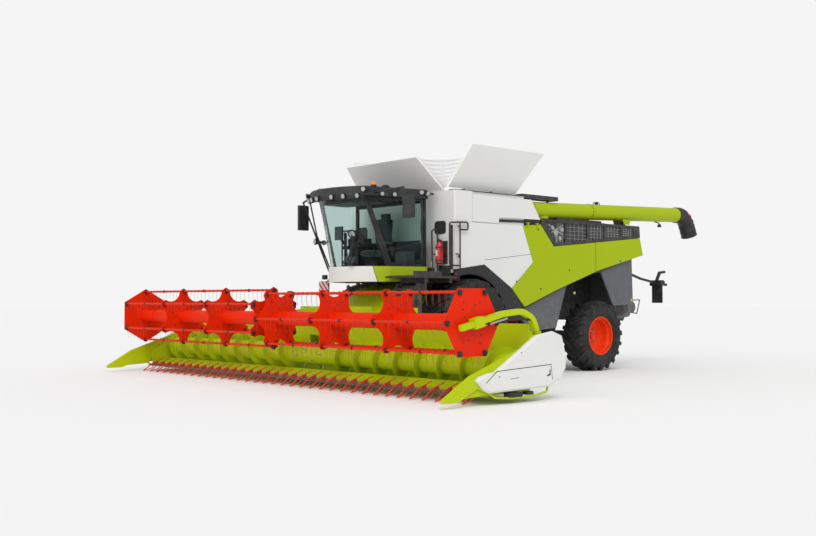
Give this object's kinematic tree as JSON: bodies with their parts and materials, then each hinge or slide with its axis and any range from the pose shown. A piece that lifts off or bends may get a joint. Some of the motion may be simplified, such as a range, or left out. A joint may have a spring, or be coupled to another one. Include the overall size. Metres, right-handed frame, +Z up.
{
  "type": "combine harvester",
  "caption": "Self-propelled combine harvester with wide grain header, tined reel, glazed cab, grain tank with folding lids and a swinging unloading auger.",
  "frame": {"origin": "on the ground, under the middle of the machine's bounding box", "axes": "+X the machine's left side, -Y forward, +Z up"},
  "size_m": [11.2, 12.904, 4.7909],
  "materials": {
    "lime_paint": "gloss",
    "white_paint": "gloss",
    "red_paint": "gloss",
    "dark_paint": "satin",
    "grey_paint": "satin",
    "header_paint": "gloss",
    "dark_plastic": "matt",
    "steel": "brushed",
    "cast": "cast",
    "rod_chrome": "polished",
    "tyre_rubber": "matt",
    "tinted_glass": "clear",
    "seat_cloth": "woven"
  },
  "bodies": {
    "machine": {"access_platform": "dark_paint", "cab_base": "dark_plastic", "cab_frame": "dark_plastic", "cab_roof": "dark_plastic", "cab_skirt": "white_paint", "cab_windows": "tinted_glass", "chassis_frame": "dark_paint", "driver_controls": "dark_plastic", "engine_block": "cast", "engine_deck": "dark_paint", "front_axle": "dark_paint", "front_bulkhead": "white_paint", "front_mudguards": "dark_plastic", "grain_tank": "white_paint", "lower_panels": "grey_paint", "mirrors": "dark_plastic", "operator_chair": "seat_cloth", "rear_axle": "dark_paint", "rear_body": "dark_paint", "rear_hood": "grey_paint", "side_grilles": "grey_paint", "straw_chopper": "grey_paint", "tail_lamp_carriers": "dark_paint", "threshing_body": "dark_paint", "white_panels": "white_paint"},
    "front_wheel_left": {"front_tyre_left": "tyre_rubber", "front_rim_left": "red_paint"},
    "knuckle_left": {"steering_knuckle_left": "cast"},
    "rear_wheel_left": {"rear_tyre_left": "tyre_rubber", "rear_rim_left": "red_paint"},
    "side_door_left": {"side_door_left": "lime_paint"},
    "front_wheel_right": {"front_tyre_right": "tyre_rubber", "front_rim_right": "red_paint"},
    "knuckle_right": {"steering_knuckle_right": "cast"},
    "rear_wheel_right": {"rear_tyre_right": "tyre_rubber", "rear_rim_right": "red_paint"},
    "side_door_right": {"side_door_right": "lime_paint"},
    "tank_lid_front": {"tank_lid_front": "white_paint"},
    "tank_lid_rear": {"tank_lid_rear": "white_paint"},
    "tank_lid_left": {"tank_lid_left": "white_paint"},
    "tank_lid_right": {"tank_lid_right": "white_paint"},
    "steering_rod": {"steering_rod": "rod_chrome"},
    "unloading_auger": {"unloading_tube": "lime_paint", "unloading_spout": "dark_plastic"},
    "cab_door": {"cab_door": "dark_plastic", "cab_door_glass": "tinted_glass"},
    "access_ladder": {"access_ladder": "dark_paint"},
    "header": {"feeder_house": "header_paint", "header_frame": "header_paint", "header_back_frame": "header_paint", "crop_lifters": "red_paint", "header_end_covers": "white_paint", "crop_dividers": "header_paint"},
    "intake_auger": {"intake_auger": "header_paint"},
    "reel_arms": {"reel_arms": "header_paint"},
    "reel_slides": {"reel_slides": "header_paint"},
    "reel": {"reel": "red_paint"},
    "lift_barrels": {"lift_barrels": "dark_paint"},
    "lift_rods": {"lift_rods": "rod_chrome"}
  },
  "joints": [
    {"name": "front_wheel_left_spin", "type": "hinge", "parent": "machine", "child": "front_wheel_left", "pos_m": [1.49, -2.002, 1.03], "axis": [1, 0, 0], "continuous": true},
    {"name": "steering_left", "type": "hinge", "parent": "machine", "child": "knuckle_left", "pos_m": [1.01, 2.248, 0.805], "axis": [0, 0, 1], "range_deg": [-40, 40]},
    {"name": "rear_wheel_left_spin", "type": "hinge", "parent": "knuckle_left", "child": "rear_wheel_left", "pos_m": [1.45, 2.248, 0.805], "axis": [1, 0, 0], "continuous": true},
    {"name": "side_door_left_swing", "type": "hinge", "parent": "machine", "child": "side_door_left", "pos_m": [1.69, -2.002, 3.292], "axis": [0, -1, 0], "range_deg": [0, 75]},
    {"name": "tank_lid_left_fold", "type": "hinge", "parent": "machine", "child": "tank_lid_left", "pos_m": [1.45, -2.002, 3.93], "axis": [0, -1, 0], "range_deg": [0, 118]},
    {"name": "front_wheel_right_spin", "type": "hinge", "parent": "machine", "child": "front_wheel_right", "pos_m": [-1.49, -2.002, 1.03], "axis": [1, 0, 0], "continuous": true},
    {"name": "steering_right", "type": "hinge", "parent": "machine", "child": "knuckle_right", "pos_m": [-1.01, 2.248, 0.805], "axis": [0, 0, 1], "range_deg": [-40, 40]},
    {"name": "rear_wheel_right_spin", "type": "hinge", "parent": "knuckle_right", "child": "rear_wheel_right", "pos_m": [-1.45, 2.248, 0.805], "axis": [1, 0, 0], "continuous": true},
    {"name": "side_door_right_swing", "type": "hinge", "parent": "machine", "child": "side_door_right", "pos_m": [-1.69, -2.002, 3.292], "axis": [0, 1, 0], "range_deg": [0, 75]},
    {"name": "tank_lid_right_fold", "type": "hinge", "parent": "machine", "child": "tank_lid_right", "pos_m": [-1.45, -2.002, 3.93], "axis": [0, 1, 0], "range_deg": [0, 118]},
    {"name": "steering_rod_slide", "type": "slide", "parent": "machine", "child": "steering_rod", "axis": [1, 0, 0], "range_m": [-0.14, 0.14]},
    {"name": "tank_lid_front_fold", "type": "hinge", "parent": "machine", "child": "tank_lid_front", "pos_m": [0, -2.372, 3.89], "axis": [-1, 0, 0], "range_deg": [0, 133]},
    {"name": "tank_lid_rear_fold", "type": "hinge", "parent": "machine", "child": "tank_lid_rear", "pos_m": [0, -0.344, 3.89], "axis": [1, 0, 0], "range_deg": [0, 133]},
    {"name": "unloading_auger_swing", "type": "hinge", "parent": "machine", "child": "unloading_auger", "pos_m": [1.45, 0.448, 3.61727], "axis": [0.0349, 0, -0.9994], "range_deg": [0, 90]},
    {"name": "cab_door_swing", "type": "hinge", "parent": "machine", "child": "cab_door", "pos_m": [1.132, -2.762, 2.9], "axis": [0, 0, 1], "range_deg": [0, 80]},
    {"name": "access_ladder_swing", "type": "hinge", "parent": "machine", "child": "access_ladder", "pos_m": [1.77, -3.332, 1.855], "axis": [0, 0, 1], "range_deg": [0, 90]},
    {"name": "feeder_lift", "type": "hinge", "parent": "machine", "child": "header", "pos_m": [0, -2.452, 1.8], "axis": [-1, 0, 0], "range_deg": [0, 15]},
    {"name": "intake_auger_spin", "type": "hinge", "parent": "header", "child": "intake_auger", "pos_m": [0, -4.682, 0.56], "axis": [1, 0, 0], "continuous": true},
    {"name": "reel_lift", "type": "hinge", "parent": "header", "child": "reel_arms", "pos_m": [0, -4.232, 1.085], "axis": [-1, 0, 0], "range_deg": [0, 20]},
    {"name": "reel_slide", "type": "slide", "parent": "reel_arms", "child": "reel_slides", "axis": [0, -0.9736, -0.2284], "range_m": [0, 0.2]},
    {"name": "reel_spin", "type": "hinge", "parent": "reel_slides", "child": "reel", "pos_m": [0, -5.602, 1.275], "axis": [1, 0, 0], "continuous": true},
    {"name": "lift_barrel_swing", "type": "hinge", "parent": "machine", "child": "lift_barrels", "pos_m": [0, -2.122, 0.64], "axis": [-1, 0, 0], "range_deg": [0, 13]},
    {"name": "lift_rod_slide", "type": "slide", "parent": "lift_barrels", "child": "lift_rods", "axis": [0, -0.9962, -0.0866], "range_m": [0, 0.34]}
  ],
  "couplings": [
    {"joint": "steering_right", "follows": "steering_left", "ratio": 1},
    {"joint": "steering_rod_slide", "follows": "steering_left", "m_per_rad": -0.193},
    {"joint": "lift_barrel_swing", "follows": "feeder_lift", "ratio": 0.775},
    {"joint": "lift_rod_slide", "follows": "feeder_lift", "m_per_rad": 1.152}
  ]
}
